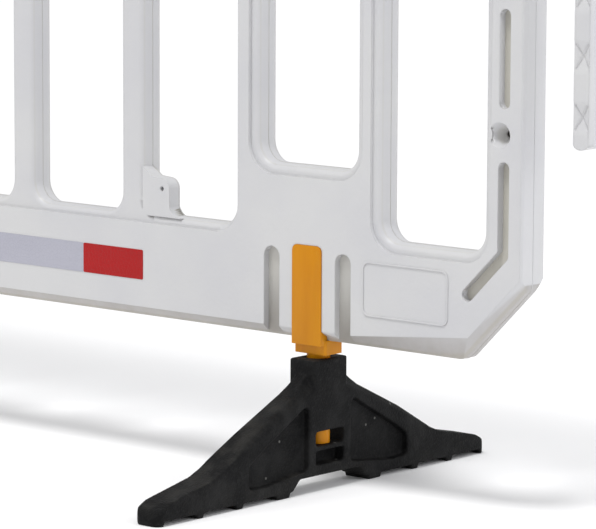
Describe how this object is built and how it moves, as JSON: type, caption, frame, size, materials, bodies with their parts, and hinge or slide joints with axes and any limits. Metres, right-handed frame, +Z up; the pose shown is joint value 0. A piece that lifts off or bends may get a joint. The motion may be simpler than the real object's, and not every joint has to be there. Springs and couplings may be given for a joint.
{
  "type": "pedestrian barrier panel",
  "caption": "Interlocking moulded pedestrian barrier panel with upright slots, coupling pegs and loops, clip-in spigots, swivelling rubber feet and reflective strips.",
  "frame": {"origin": "on the ground, under the middle of the panel and in its mid-plane", "axes": "+X along the panel towards the pegs, -Y the front face, +Z up"},
  "size_m": [2.1473, 0.484, 1],
  "materials": {
    "white_polyethylene": "fine blow-moulded satin white",
    "amber_plastic": "glossy injection-moulded amber",
    "black_rubber": "recycled rubber with pale crumbs and scuffs",
    "pale_sheeting": "silver-grey retroreflective sheeting",
    "red_sheeting": "red retroreflective sheeting"
  },
  "bodies": {
    "panel": {"panel": "white_polyethylene", "clip_right": "amber_plastic", "clip_left": "amber_plastic", "low_front_pale": "pale_sheeting", "low_front_red": "red_sheeting", "low_rear_pale": "pale_sheeting", "low_rear_red": "red_sheeting", "high_front_pale": "pale_sheeting", "high_front_red": "red_sheeting", "high_rear_pale": "pale_sheeting", "high_rear_red": "red_sheeting"},
    "foot_right": {"foot_right": "black_rubber"},
    "foot_left": {"foot_left": "black_rubber"}
  },
  "joints": [
    {"name": "right_foot_swivel", "type": "hinge", "parent": "panel", "child": "foot_right", "pos_m": [0.7535, 0, 0.08], "axis": [0, 0, 1], "continuous": true},
    {"name": "left_foot_swivel", "type": "hinge", "parent": "panel", "child": "foot_left", "pos_m": [-0.7535, 0, 0.08], "axis": [0, 0, 1], "continuous": true}
  ]
}
